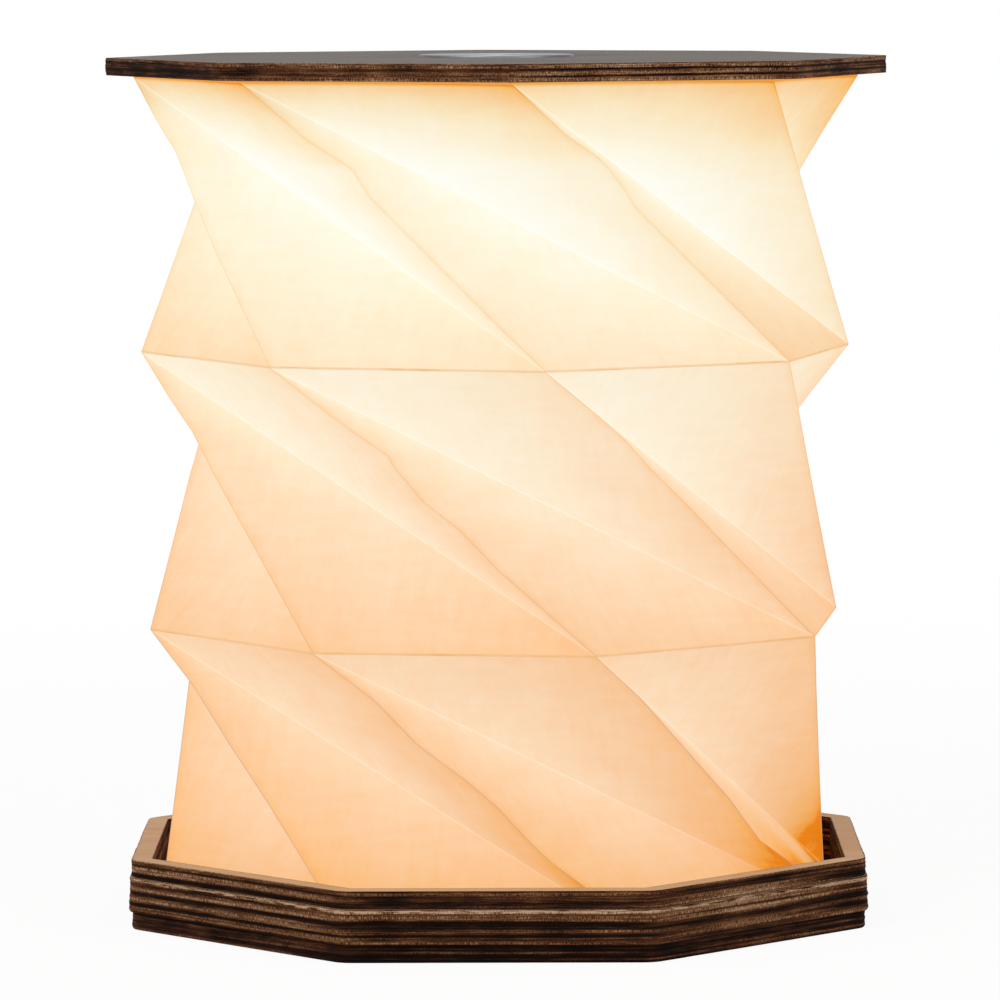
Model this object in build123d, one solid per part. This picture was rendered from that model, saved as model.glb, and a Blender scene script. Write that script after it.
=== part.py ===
"""Folding octagonal paper lamp: a plywood lid and a plywood tray joined by a shade of three twisted paper
storeys. Pushing the lid down and turning it folds the storeys flat. A round light module hangs in the lid.

Millimetres, +Z up. The origin is the centre of the tray's underside.
"""

from build123d import *
from math import cos, radians, sin, sqrt, tan
import os

os.makedirs("parts", exist_ok=True)

# ---- plywood ----
sides = 8
sheet_thickness = 4.0  # three-ply birch
board_across_flats = 168.0  # the lid and the tray's top ring
middle_ring_proud = 0.45  # how far each of these stands out past the top ring, per side
lower_ring_proud = 0.55
floor_inset = 0.1  # how far the tray floor stops short of the top ring, per side
ring_wall = 5.0
board_corner_radius = 6.0  # of every board's eight upright corner edges
lid_turn = 2.2  # degrees, of one corner from the front, counter-clockwise from above
tray_turn = 22.3

# ---- paper shade ----
paper_inset = 1.5  # from a corner of the tray's hollow to the octagon's corner
joint_draw = 1.1  # how far the two free octagons draw in
paper_thickness = 0.4
storey_rise = 63.2  # from one octagon to the next
joint_turns = (15.1, 7.3)  # degrees, the lower and upper free octagons' corners
flap_width = 9.0  # of the glued flaps, turned in to lie flat
flap_gap = 0.6  # left between two neighbouring flaps at a corner

# ---- light module ----
housing_radius = 16.6
housing_wall = 1.4
housing_depth = 11.6
plate_lip = 1.3  # how far the metal plate overhangs the housing
plate_thickness = 1.2
plate_proud = 0.5
plate_edge = 0.25
plate_clearance = 0.2
bore_clearance = 0.2
board_clearance = 0.2
board_thickness = 1.0
board_ledge = 1.2  # how far the housing's two ledges reach in past a board's edge
board_drop = 1.2  # from the housing's inner top to the control board

# ---- collar under the lid ----
collar_wall = 1.8
collar_depth = 5.0
collar_flange_width = 8.4
collar_flange_thickness = 2.0
screw_count = 3
screw_radius = 1.1
screw_head_radius = 2.1
screw_head_height = 1.1
screw_slot_width = 0.6
screw_grip = 3.0  # length in the lid
screw_clearance = 0.25

# ---- inside the light module ----
spring_radius = 2.0
spring_wire = 0.4
spring_turns = 3
spring_clearance = 0.8
pad_thickness = 0.4
pad_margin = 2.0
battery_side_room = 4.5  # from each side of the cell to the boards' edge
battery_front_room = 5.0
battery_back_room = 11.0  # leaves room for the socket
battery_gap = 1.0  # above the light board
battery_edge_radius = 1.4
socket_size = (8.9, 7.3, 3.2)
socket_wall = 0.3
socket_tongue = (6.7, 4.6, 0.7)
socket_clearance = 0.15
chip_size = (4.0, 2.4, 0.9)
chip_spacing = 5.0
small_chip_size = (1.6, 2.2, 0.9)
wire_radius = 0.45
wire_spacing = 2.0
led_count = 8
led_inset = 4.5  # from the light board's edge
led_size = (3.5, 2.8, 0.7)
cap_wall = 1.2
cap_drop = 4.4
cap_edge = 1.2
cap_clearance = 0.2

# ---- what follows from these ----
half_side = 180 / sides
tray_hollow = board_across_flats - 2 * ring_wall
paper_radius = tray_hollow / 2 / cos(radians(half_side)) - paper_inset
paper_radii = (paper_radius, paper_radius - joint_draw, paper_radius - joint_draw, paper_radius)
paper_turns = (tray_turn, *joint_turns, lid_turn)
levels = [sheet_thickness + paper_thickness + i * storey_rise for i in range(4)]
lid_bottom = levels[3] + paper_thickness
lid_top = lid_bottom + sheet_thickness
plate_radius = housing_radius + plate_lip
plate_bottom = lid_top + plate_proud - plate_thickness
bore_radius = housing_radius + bore_clearance
flange_bottom = lid_bottom - collar_flange_thickness
screw_circle = bore_radius + collar_wall + collar_flange_width / 2
housing_inner_radius = housing_radius - housing_wall
housing_bottom = plate_bottom - housing_depth
board_radius = housing_inner_radius - board_clearance
control_top = plate_bottom - housing_wall - board_drop
control_bottom = control_top - board_thickness
light_board_bottom = housing_bottom + housing_wall
light_board_top = light_board_bottom + board_thickness
battery_top = control_bottom - pad_thickness
battery_front = board_radius - battery_front_room
battery_back = board_radius - battery_back_room
battery_width = 2 * (board_radius - battery_side_room)
battery_depth = battery_front + battery_back
battery_height = battery_top - light_board_top - battery_gap
battery_centre = (battery_back - battery_front) / 2


def direction(turn):
    """Plan direction of a corner, turned counter-clockwise from the front (-Y)."""
    return sin(radians(turn)), -cos(radians(turn))


def corner(radius, turn, z):
    x, y = direction(turn)
    return Vector(radius * x, radius * y, z)


def corner_turns(turn):
    return [turn + i * 360 / sides for i in range(sides)]


def octagon_prism(across_flats, turn, bottom, height, fillet_radius=0.0):
    """An upright octagonal prism, its eight corner edges rounded."""
    radius = across_flats / 2 / cos(radians(half_side))
    outline = Polyline(*[corner(radius, t, bottom) for t in corner_turns(turn)], close=True)
    prism = extrude(make_face(outline), height, dir=(0, 0, 1))
    if fillet_radius:
        prism = fillet(prism.edges().filter_by(Axis.Z), fillet_radius)
    return prism


def cylinder(radius, bottom, height, x=0.0, y=0.0):
    return Pos(x, y, bottom + height / 2) * Cylinder(radius, height)


def tray_floor():
    width = board_across_flats - 2 * floor_inset
    return octagon_prism(width, tray_turn, 0, sheet_thickness, board_corner_radius)


def tray_ring(index, proud):
    """Ring number index above the floor: the outside stands proud, the inside is the same on every ring."""
    bottom = index * sheet_thickness
    outside = octagon_prism(
        board_across_flats + 2 * proud, tray_turn, bottom, sheet_thickness, board_corner_radius
    )
    hollow = octagon_prism(tray_hollow, tray_turn, bottom, sheet_thickness)
    return outside - hollow


def paper_storey(index):
    """One twisted storey, between two glued flap rings. From each upper corner a ridge runs down to the
    lower corner about 52 degrees on, and a furrow to the next corner, so sixteen flat triangles close the
    tube. The skin is paper_thickness through, measured towards the axis."""
    bottom = levels[index] + (paper_thickness / 2 if index > 0 else 0)
    top = levels[index + 1] - (paper_thickness / 2 if index < 2 else 0)
    upper_turns = corner_turns(paper_turns[index + 1])
    lower_turns = corner_turns(paper_turns[index] + 2 * half_side)
    uppers = []
    lowers = []
    for skin in (0, paper_thickness):
        uppers.append([corner(paper_radii[index + 1] - skin, t, top) for t in upper_turns])
        lowers.append([corner(paper_radii[index] - skin, t, bottom) for t in lower_turns])
    outlines = []
    for i in range(sides):
        j = (i + 1) % sides
        for upper, lower in zip(uppers, lowers):
            outlines.append([upper[i], lower[i], lower[j]])
            outlines.append([upper[i], lower[j], upper[j]])
        for outer, inner in (uppers, lowers):
            outlines.append([outer[i], outer[j], inner[j], inner[i]])
    faces = [Face(Wire.make_polygon(points, close=True)) for points in outlines]
    return Solid(Shell(faces))


def flap_ring(level, bottom):
    """Eight glued flaps, one turned in from each side of an octagon and mitred at its ends."""
    outer = paper_radii[level] * cos(radians(half_side))
    inner = outer - flap_width
    outer_end = outer * tan(radians(half_side)) - flap_gap / 2
    inner_end = inner * tan(radians(half_side)) - flap_gap / 2
    outline = ((outer, outer_end), (outer, -outer_end), (inner, -inner_end), (inner, inner_end))
    face = make_face(Polyline(*[Vector(x, y, bottom) for x, y in outline], close=True))
    flap = extrude(face, paper_thickness, dir=(0, 0, 1))
    middle_turns = corner_turns(paper_turns[level] + half_side - 90)
    return Compound(children=[Rot(0, 0, t) * flap for t in middle_turns])


def screw_places():
    return [corner(screw_circle, (i + 0.5) * 360 / screw_count, 0) for i in range(screw_count)]


def lid_board():
    """The lid, with a seat for the metal plate, a bore for the module and blind holes for the screws."""
    board = octagon_prism(board_across_flats, lid_turn, lid_bottom, sheet_thickness, board_corner_radius)
    board -= cylinder(plate_radius + plate_clearance, plate_bottom, plate_thickness)
    board -= cylinder(bore_radius, lid_bottom, sheet_thickness)
    for place in screw_places():
        board -= cylinder(screw_radius, lid_bottom, screw_grip, place.X, place.Y)
    return board


def module_collar():
    """Flanged sleeve under the lid, which keeps the light module upright."""
    sleeve_radius = bore_radius + collar_wall
    collar = cylinder(sleeve_radius + collar_flange_width, flange_bottom, collar_flange_thickness)
    collar += cylinder(sleeve_radius, lid_bottom - collar_depth, collar_depth)
    collar -= cylinder(bore_radius, lid_bottom - collar_depth, collar_depth)
    for place in screw_places():
        hole = screw_radius + screw_clearance
        collar -= cylinder(hole, flange_bottom, collar_flange_thickness, place.X, place.Y)
    return collar


def collar_screw(place):
    """Round-headed slotted screw, its head against the flange and its shank in the lid."""
    head_bottom = flange_bottom - screw_head_height
    head = cylinder(screw_head_radius, head_bottom, screw_head_height, place.X, place.Y)
    low_rim = head.edges().filter_by(GeomType.CIRCLE).sort_by(Axis.Z)[0]
    head = fillet(low_rim, screw_head_height / 2)
    slot = Box(2 * screw_head_radius, screw_slot_width, screw_head_height)
    head -= Pos(place.X, place.Y, head_bottom) * slot
    return head + cylinder(
        screw_radius, flange_bottom, collar_flange_thickness + screw_grip, place.X, place.Y
    )


def collar_screws():
    return Compound(children=[collar_screw(place) for place in screw_places()])


def touch_plate():
    """Turned metal disc on top of the module, seated in the lid with a small chamfer round its edge."""
    plate = cylinder(plate_radius, plate_bottom, plate_thickness)
    rim = plate.edges().filter_by(GeomType.CIRCLE).sort_by(Axis.Z)[-1]
    return chamfer(rim, plate_edge)


def socket_centre():
    """Centre of the charging socket, at the back: the ends of its mouth meet the housing's outside."""
    width, depth, height = socket_size
    mouth = sqrt(housing_radius**2 - (width / 2) ** 2)
    return Vector(0, mouth - depth / 2, control_bottom - height / 2)


def rounded_slot(width, height, depth):
    """A bar with round ends, lying along Y and centred on its own origin."""
    return Rot(90, 0, 0) * extrude(SlotOverall(width, height), depth / 2, both=True)


def housing_ledge(bottom, height):
    """Ring inside the housing that a board's edge rests against."""
    ring = cylinder(housing_inner_radius, bottom, height)
    return ring - cylinder(board_radius - board_ledge, bottom, height)


def module_housing():
    """Cup of the light module, open below, with a ledge for each board and a slot for the socket."""
    cup = cylinder(housing_radius, housing_bottom, housing_depth)
    cup -= cylinder(housing_inner_radius, housing_bottom, housing_depth - housing_wall)
    spring_hole = spring_radius + spring_wire + spring_clearance
    cup -= cylinder(spring_hole, plate_bottom - housing_wall, housing_wall)
    cup += housing_ledge(light_board_top, board_thickness)
    cup += housing_ledge(control_top, board_drop)
    width, depth, height = socket_size
    # Twice the socket's depth, so that the slot runs out through the curved wall.
    slot = rounded_slot(width + 2 * socket_clearance, height + 2 * socket_clearance, 2 * depth)
    return cup - Location(socket_centre()) * Pos(0, depth / 2, 0) * slot


def charging_socket():
    """Oval metal shell with a tongue inside."""
    width, depth, height = socket_size
    shell = rounded_slot(width, height, depth)
    hollow = rounded_slot(width - 2 * socket_wall, height - 2 * socket_wall, depth)
    shell -= Pos(0, socket_wall, 0) * hollow
    tongue_width, tongue_depth, tongue_height = socket_tongue
    tongue_place = socket_wall + (tongue_depth - depth) / 2
    shell += Pos(0, tongue_place, 0) * Box(tongue_width, tongue_depth, tongue_height)
    return Location(socket_centre()) * shell


def control_board():
    return cylinder(board_radius, control_bottom, board_thickness)


def control_chips():
    """The touch and charging chips in front of the battery, and two small parts beside it."""
    board_front = sqrt(board_radius**2 - ((chip_spacing + chip_size[0]) / 2) ** 2)
    front = (battery_front + board_front) / 2
    side = (battery_width / 2 + board_radius) / 2
    chips = []
    for way in (-1, 1):
        chip = Box(*chip_size, align=(Align.CENTER, Align.CENTER, Align.MAX))
        chips.append(Pos(way * chip_spacing / 2, -front, control_bottom) * chip)
        small = Box(*small_chip_size, align=(Align.CENTER, Align.CENTER, Align.MAX))
        chips.append(Pos(way * side, -battery_front / 2, control_bottom) * small)
    return Compound(children=chips)


def battery_pad():
    """Foam pad that sticks the cell to the control board."""
    pad = Box(battery_width - 2 * pad_margin, battery_depth - 2 * pad_margin, pad_thickness)
    return Pos(0, battery_centre, battery_top + pad_thickness / 2) * pad


def battery_cell():
    """Flat pouch cell with rounded long edges."""
    cell = Box(battery_width, battery_depth, battery_height)
    cell = Pos(0, battery_centre, battery_top - battery_height / 2) * cell
    return fillet(cell.edges().filter_by(Axis.X), battery_edge_radius)


def touch_spring():
    """Small coil between the control board and the metal plate."""
    rise = plate_bottom - control_top - 2 * spring_wire
    helix = Pos(0, 0, control_top + spring_wire) * Helix(rise / spring_turns, rise, spring_radius)
    section = Plane(origin=helix @ 0, z_dir=helix % 0) * Circle(spring_wire)
    return sweep(section, path=helix)


def led_board():
    return cylinder(board_radius, light_board_bottom, board_thickness)


def leds():
    """Ring of light-emitting packages under the light board."""
    packages = []
    for i in range(led_count):
        turn = i * 360 / led_count
        place = Location(corner(board_radius - led_inset, turn, light_board_bottom)) * Rot(0, 0, turn)
        packages.append(place * Box(*led_size, align=(Align.CENTER, Align.CENTER, Align.MAX)))
    return Compound(children=packages)


def diffuser_cap():
    """Frosted cap below the module, with a spigot that plugs into the housing and holds the light board."""
    spigot_radius = housing_inner_radius - cap_clearance
    cap_bottom = housing_bottom - cap_drop
    cap = cylinder(housing_radius, cap_bottom, cap_drop)
    low_rim = cap.edges().filter_by(GeomType.CIRCLE).sort_by(Axis.Z)[0]
    cap = fillet(low_rim, cap_edge)
    cap += cylinder(spigot_radius, housing_bottom, housing_wall)
    inside = spigot_radius - cap_wall
    return cap - cylinder(inside, cap_bottom + cap_wall, cap_drop + housing_wall - cap_wall)


def board_wires():
    """Four wires from the control board down to the light board, beside the battery."""
    edge = (battery_width + wire_spacing) / 2
    length = control_bottom - light_board_top
    rows = (battery_back, battery_back - wire_spacing)
    places = [(side * edge, row) for side in (-1, 1) for row in rows]
    return Compound(children=[cylinder(wire_radius, light_board_top, length, x, y) for x, y in places])


parts = {
    "tray_floor": tray_floor(),
    "tray_ring_lower": tray_ring(1, lower_ring_proud),
    "tray_ring_middle": tray_ring(2, middle_ring_proud),
    "tray_ring_upper": tray_ring(3, 0),
    "shade_base_flaps": flap_ring(0, sheet_thickness),
    "shade_storey_lower": paper_storey(0),
    "shade_joint_flaps_lower": flap_ring(1, levels[1] - paper_thickness / 2),
    "shade_storey_middle": paper_storey(1),
    "shade_joint_flaps_upper": flap_ring(2, levels[2] - paper_thickness / 2),
    "shade_storey_upper": paper_storey(2),
    "shade_top_flaps": flap_ring(3, levels[3]),
    "lid_board": lid_board(),
    "module_collar": module_collar(),
    "collar_screws": collar_screws(),
    "touch_plate": touch_plate(),
    "module_housing": module_housing(),
    "control_board": control_board(),
    "control_chips": control_chips(),
    "touch_spring": touch_spring(),
    "charging_socket": charging_socket(),
    "battery_pad": battery_pad(),
    "battery_cell": battery_cell(),
    "board_wires": board_wires(),
    "led_board": led_board(),
    "leds": leds(),
    "diffuser_cap": diffuser_cap(),
}

for name, shape in parts.items():
    export_step(shape, f"parts/{name}.step")
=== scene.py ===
# %% [markdown]
# # A folding paper lamp, built in cells
# The lamp is an eight-sided tube of translucent paper in three twisted storeys, between a plywood lid and
# a plywood tray. A round light module hangs in the lid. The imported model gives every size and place, so
# this lesson starts by loading it. It then builds surfaces with numpy and finishes with procedural
# materials.

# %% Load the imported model
import math

import bpy
import numpy as np
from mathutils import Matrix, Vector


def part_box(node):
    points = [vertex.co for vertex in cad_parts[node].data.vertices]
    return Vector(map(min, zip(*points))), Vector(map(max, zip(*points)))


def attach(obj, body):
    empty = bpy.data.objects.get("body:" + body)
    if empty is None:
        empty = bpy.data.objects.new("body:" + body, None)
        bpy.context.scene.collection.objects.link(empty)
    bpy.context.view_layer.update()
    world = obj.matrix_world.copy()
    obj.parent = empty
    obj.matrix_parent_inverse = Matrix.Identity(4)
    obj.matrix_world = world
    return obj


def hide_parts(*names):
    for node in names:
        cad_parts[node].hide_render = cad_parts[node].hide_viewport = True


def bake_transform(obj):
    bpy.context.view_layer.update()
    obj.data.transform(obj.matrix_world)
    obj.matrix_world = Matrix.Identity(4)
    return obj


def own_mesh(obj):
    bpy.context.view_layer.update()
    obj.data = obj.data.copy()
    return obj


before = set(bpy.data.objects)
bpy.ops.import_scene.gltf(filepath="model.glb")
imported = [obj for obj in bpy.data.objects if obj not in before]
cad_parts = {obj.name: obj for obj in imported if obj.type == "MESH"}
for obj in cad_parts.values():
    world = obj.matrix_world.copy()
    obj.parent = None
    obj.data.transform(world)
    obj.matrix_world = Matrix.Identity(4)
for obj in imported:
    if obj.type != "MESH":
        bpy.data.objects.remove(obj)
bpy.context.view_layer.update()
MM = 0.001
SIDES = 8
SIDE_TURN = 2 * math.pi / SIDES
CORNERS = np.arange(SIDES)

# %% [markdown]
# ## The camera
# The photograph was taken from far away with a long lens, a little above the lid and tipped down, so the
# lid's top and the tray's hollow just show. The lens is the focal length as a share of the picture's
# width, times a 36 mm sensor. A small shift centres the lamp as it is in the picture.

# %% Camera
FOCAL_SHARE, TIPPED_DOWN, LEANING = 6.3297, 5.061, -0.163
camera_data = bpy.data.cameras.new("camera")
camera_data.sensor_width = 36.0
camera_data.lens = FOCAL_SHARE * camera_data.sensor_width
camera_data.shift_x = 0.00207
camera_data.clip_end = 50.0
camera = bpy.data.objects.new("camera", camera_data)
bpy.context.scene.collection.objects.link(camera)
camera.location = (0.0, -1.4688, 0.2254)
camera.rotation_mode = "ZYX"
camera.rotation_euler = (math.radians(90 - TIPPED_DOWN), 0.0, math.radians(LEANING))
bpy.context.scene.camera = camera
print("lens", round(camera_data.lens, 1), "mm")

# %% [markdown]
# ## Measuring the folded octagons
# The CAD model has each storey's octagons as sharp corners. The farthest corners at a storey's lower and
# upper end give the octagon's radius and how far it is turned, so nothing has to be typed in twice.


# %% Octagons of the paper, read from the imported model
def node_points(node):
    return np.array([v.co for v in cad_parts[node].data.vertices], float)


def octagon_at(node, end):
    """Radius and turn (from the front, -Y, counter-clockwise) of a node's outermost corners, at its lowest
    (0) or highest (-1) level."""
    points = node_points(node)
    level = points[np.abs(points[:, 2] - np.sort(points[:, 2])[end]) < 0.02 * MM]
    reach = np.hypot(level[:, 0], level[:, 1])
    x, y = level[reach.argmax(), :2]
    return reach.max(), math.atan2(x, -y) % SIDE_TURN


def middle_height(node):
    low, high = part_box(node)
    return (low.z + high.z) / 2


STOREYS = ("lower", "middle", "upper")
levels = [
    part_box("shade_base_flaps")[1].z,
    middle_height("shade_joint_flaps_lower"),
    middle_height("shade_joint_flaps_upper"),
    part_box("shade_top_flaps")[0].z,
]
octagons = [octagon_at("shade_storey_lower", 0)]
octagons += [octagon_at(f"shade_storey_{name}", -1) for name in STOREYS]
for level, (radius, turn) in zip(levels, octagons):
    print(f"octagon at {level / MM:.1f} mm: radius {radius / MM:.2f} mm, turn {math.degrees(turn):.1f}")

# %% [markdown]
# ## The folded paper
# Real folded paper is sixteen flat triangles per storey, but it is never quite flat: each ridge has a
# small buckle about a quarter of the way down, where the sheet gave way when it was folded. One way to
# make this is to fold a plane by hand. Here the storey is a surface of two parameters, because then the
# buckles, the creases and the light can all be worked out from the same numbers. Row s runs from the upper
# octagon (0) to the lower one (1). In each row the tube is sixteen straight pieces, from ridge to furrow
# to the next ridge. Each row of a ridge's table is a share of the way down, and how far the ridge is moved
# there sideways and inwards, in millimetres. At both ends it isn't moved.

# %% Ridges and furrows
ROWS = 64
BUCKLE = ((0.17, 0.8, 0.6), (0.27, 3.0, 2.0), (0.36, 1.6, 1.0), (0.48, 0.3, 0.2))
SOFT = ((0.2, 0.5, 0.3), (0.45, 0.4, 0.2))
SOFT_RIDGES = (1, 2)
ridge_shapes = {
    ("upper", 6): ((0.15, 0.8, 0.5), (0.26, 3, 1.1), (0.42, 0.8, 0.5), (0.6, 0, 0)),
    ("upper", 7): ((0.2, 1.3, 0.6), (0.3, 4.1, 2), (0.4, 1.6, 1), (0.58, 1.2, 0.3), (0.85, 0.2, 0)),
    ("upper", 0): ((0.18, 0.8, 0.6), (0.27, 3.6, 2), (0.35, 2.7, 1.2), (0.44, 0.2, 0.3)),
    ("middle", 6): ((0.16, 0.5, 0.4), (0.27, 1.6, 0.9), (0.42, 0.6, 0.4)),
    ("middle", 7): (
        (0.1, 0.9, 0.3), (0.21, 1.9, 1), (0.285, 3, 2), (0.305, 3.8, 2), (0.34, 2.5, 1.3), (0.47, 0.4, 0.3),
        (0.56, 1.5, 0), (0.7, 0, 0),
    ),
    ("middle", 0): ((0.12, 1.4, 0.6), (0.26, 3, 2), (0.35, 2.1, 1.2), (0.52, 1.9, 0.5), (0.78, 0.7, 0)),
    ("lower", 6): ((0.18, 1.1, 1), (0.37, 0.6, 0.6), (0.55, 0.9, 0.3), (0.82, 0, 0)),
    ("lower", 7): (
        (0.16, 1.7, 0.3), (0.32, -0.2, 0), (0.45, 1.4, 0), (0.54, 1.4, 0), (0.66, -0.3, 0), (0.73, -0.8, 0),
        (0.82, 0.3, 0),
    ),
    ("lower", 0): ((0.16, 1.1, 0), (0.38, 0, 0), (0.56, -1, 0), (0.72, -4, 0.4), (0.82, -1.1, 0.2)),
}


def unit(vectors):
    """Vectors divided by their lengths. A vector of no length stays as it is."""
    return vectors / np.maximum(np.linalg.norm(vectors, axis=-1, keepdims=True), 1e-12)


def corner_points(radius, turn, height, first=0):
    """Eight corners of an octagon, as (x, y, z) rows, starting first corners on."""
    turns = turn + (CORNERS + first) * SIDE_TURN
    return np.stack([radius * np.sin(turns), -radius * np.cos(turns), np.full(SIDES, height)], -1)


def ridge_table(storey, corner):
    usual = SOFT if storey == "lower" or corner in SOFT_RIDGES else BUCKLE
    return np.array(((0, 0, 0), *ridge_shapes.get((storey, corner), usual), (1, 0, 0)))


def fold_lines(storey):
    """Ridge and furrow points [row, corner]. A ridge is the straight line between its two corners, moved
    sideways and inwards by the buckle at that share of the way down; a furrow is straight."""
    index = STOREYS.index(storey)
    upper = corner_points(*octagons[index + 1], levels[index + 1])
    lower = corner_points(*octagons[index], levels[index], first=1)
    down = np.linspace(0, 1, ROWS + 1)
    weight = down[:, None, None]
    ridges = (1 - weight) * upper + weight * lower
    furrows = (1 - weight) * upper + weight * np.roll(lower, -1, 0)
    tables = [ridge_table(storey, corner) for corner in CORNERS]
    moves = np.array([[np.interp(down, table[:, 0], table[:, way]) for table in tables] for way in (1, 2)])
    sideways, inwards = moves.transpose(0, 2, 1)[..., None] * MM
    out = unit(ridges[..., :2])
    across = np.stack([-out[..., 1], out[..., 0]], -1)
    ridges[..., :2] += sideways * across - inwards * out
    return ridges, furrows


print("ridge shapes for", len(ridge_shapes), "ridges, the usual one for the others")

# %% [markdown]
# The two kinds of facet share one trick: a triangle can be a square grid with one half left out. In the
# wide facet below a furrow, row J has J cells; in the one above it, row J has ROWS - J cells. Together
# every row of the tube then has the same number of points, so the tube closes on itself with no stray or
# doubled points.

# %% Facet grids
SIZE = ROWS + 1
COLUMNS = SIDES * ROWS


def facet_grid(narrow):
    """One facet as a square grid: rows J, places M, the share of the way across the row, which points
    belong to the facet, and its triangles. A wide facet widens downwards from a corner, a narrow one
    narrows down to one."""
    rows, places = np.meshgrid(np.arange(SIZE), np.arange(SIZE), indexing="ij")
    cells = ROWS - rows if narrow else rows
    share = np.clip(places / np.maximum(cells, 1), 0, 1)
    numbers = rows * SIZE + places
    here, right, below, slant = numbers[:-1, :-1], numbers[:-1, 1:], numbers[1:, :-1], numbers[1:, 1:]
    m, wide = places[:-1, :-1], cells[:-1, :-1]
    if narrow:
        first = np.stack([here, below, right], -1)[m < wide]
        second = np.stack([below, slant, right], -1)[m < wide - 1]
    else:
        first = np.stack([here, below, slant], -1)[m <= wide]
        second = np.stack([here, slant, right], -1)[m < wide]
    return rows, places, share, places <= cells, np.concatenate([first, second])


grids = [facet_grid(narrow) for narrow in (False, True)]
print("triangles per facet:", len(grids[0][-1]))

# %% [markdown]
# ## The light in the paper
# The glow is worked out from the lamp's own geometry. Light from the module falls on the paper by the
# cosine law and the square of the distance; light that has bounced about inside adds a level that changes
# with height. Near the furrows, which lie closer to the axis, the paper is brighter. A lamp inside and
# translucent paper would look much the same in one renderer, but it is noisy and is lost when the model is
# exported.

# %% Level of light on the paper
LIGHT_HEIGHT = 194.0 * MM
DIRECT_DOWN, DIRECT_SIDE = 0.00326, 0.00277
BOUNCED, BOUNCED_TILT = (0.568, -5.33, 37.9), 0.41
NEAR_AXIS = 1.025
LID_SHADE, LID_REACH = 0.878, 10.4 * MM
LID_NARROW, LID_WIDE = (1.3, 1.2), (1.0, 1.4, 0.6)
RIGHT_MOST, LID_EASE = 0.4, 0.3
TRAY_SHADE, TRAY_REACH = 0.713, 36.9 * MM
SOFT_SHADE, SOFT_DROP, SOFT_REACH = 0.5, 12 * MM, 7.5 * MM
FAN_LOW, FAN_HIGHER, FAN_WIDE, FAN_NARROW = 0.08, 0.1, 0.45, 0.75
TIP_LIGHT = 0.12
FRONT_SHADE, FRONT_PLACE, FRONT_WIDTH = 0.055, -0.1, 0.2
MIDDLE_SHADE = 0.06
WIDE_FOOT, NARROW_FOOT, FOOT_REACH = 0.09, 0.075, 16 * MM
# Painted shade at two corners of the foot: corner, depth and reach.
SHADED_FOOT_CORNERS = ((1, 0.39, 21 * MM), (2, 0.5, 17 * MM))


def rise_of(height):
    """Height as a share of the whole shade, from 0 at the tray to 1 at the lid."""
    return (height - levels[0]) / (levels[3] - levels[0])


def bell(distance, width):
    return np.exp(-((distance / width) ** 2))


def light_level(points, normals, down, furrow_share, narrow):
    """Level from 0 to 1. Direct light is (DIRECT_DOWN x cosine of the ray with straight down +
    DIRECT_SIDE) x cosine with the paper, over distance squared. Bounced light is a parabola in height,
    more on paper that looks up into the lamp. The lid and the tray shade the ends, and the lid's shade
    reaches further down where the paper faces right. One minus exp(-sum) keeps the level below 1. Then
    come small changes: fans of light beside the furrows, more light at the narrow facets' lower tips and
    at the foot, less on wide facets that face the front and in the middle storey, and painted shade at two
    corners of the foot."""
    ray = points - np.array([0, 0, LIGHT_HEIGHT])
    distance = np.linalg.norm(ray, axis=-1)
    ray /= distance[..., None]
    facing = np.clip((ray * normals).sum(-1), 0, None)
    direct = (DIRECT_DOWN * np.clip(-ray[..., 2], 0, None) + DIRECT_SIDE) * facing / distance**2
    height, aside = points[..., 2], normals[..., 0]
    bounced = BOUNCED[0] + BOUNCED[1] * height + BOUNCED[2] * height**2
    bounced *= 1 + BOUNCED_TILT * normals[..., 2]
    near = NEAR_AXIS * (1 - np.hypot(points[..., 0], points[..., 1]) / octagons[0][0])
    total = direct + bounced + near
    to_right = np.clip(aside, 0, RIGHT_MOST)
    if narrow:
        reach = LID_REACH * (LID_NARROW[0] + LID_NARROW[1] * to_right)
    else:
        reach = LID_REACH * (LID_WIDE[0] + np.clip(LID_WIDE[1] * aside, 0, LID_WIDE[2]))
    total -= LID_SHADE * (1 - LID_EASE * to_right * narrow) * np.exp(-(levels[3] - height) / reach)
    if narrow:
        total -= SOFT_SHADE * to_right * bell(levels[3] - height - SOFT_DROP, SOFT_REACH)
    total -= TRAY_SHADE * np.exp(-(height - levels[0]) / TRAY_REACH)
    level = 1 - np.exp(-np.clip(total, 0, None))
    rise = rise_of(height)
    fan = bell(down, FAN_NARROW if narrow else FAN_WIDE)
    level += (FAN_LOW + FAN_HIGHER * rise) * fan * furrow_share**1.5
    level += TIP_LIGHT * narrow * down**5
    if not narrow:
        level -= FRONT_SHADE * furrow_share * bell(aside - FRONT_PLACE, FRONT_WIDTH)
    level -= MIDDLE_SHADE * narrow * np.sin(math.pi * np.clip(3 * rise - 1, 0, 1))
    level += (NARROW_FOOT if narrow else WIDE_FOOT) * np.exp(-(height - levels[0]) / FOOT_REACH)
    # Painted shade: the level dips round two corners of the foot.
    for corner, shade, reach in SHADED_FOOT_CORNERS:
        place = corner_points(*octagons[0], levels[0])[corner]
        level -= shade * bell(np.linalg.norm(points - place, axis=-1), reach)
    return np.clip(level, 0.0, 0.98)


print("light level: module at", round(LIGHT_HEIGHT / MM), "mm")

# %% [markdown]
# ## From arrays to a mesh
# Each facet keeps its own copy of what is painted on its corners: the light level, the flat pattern's
# coordinates and the distances to the creases. The points themselves are shared, so the mesh is one closed
# skin. The paper gets an inner skin too, a third of a millimetre in, joined to the outer one along its
# ends.


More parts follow.
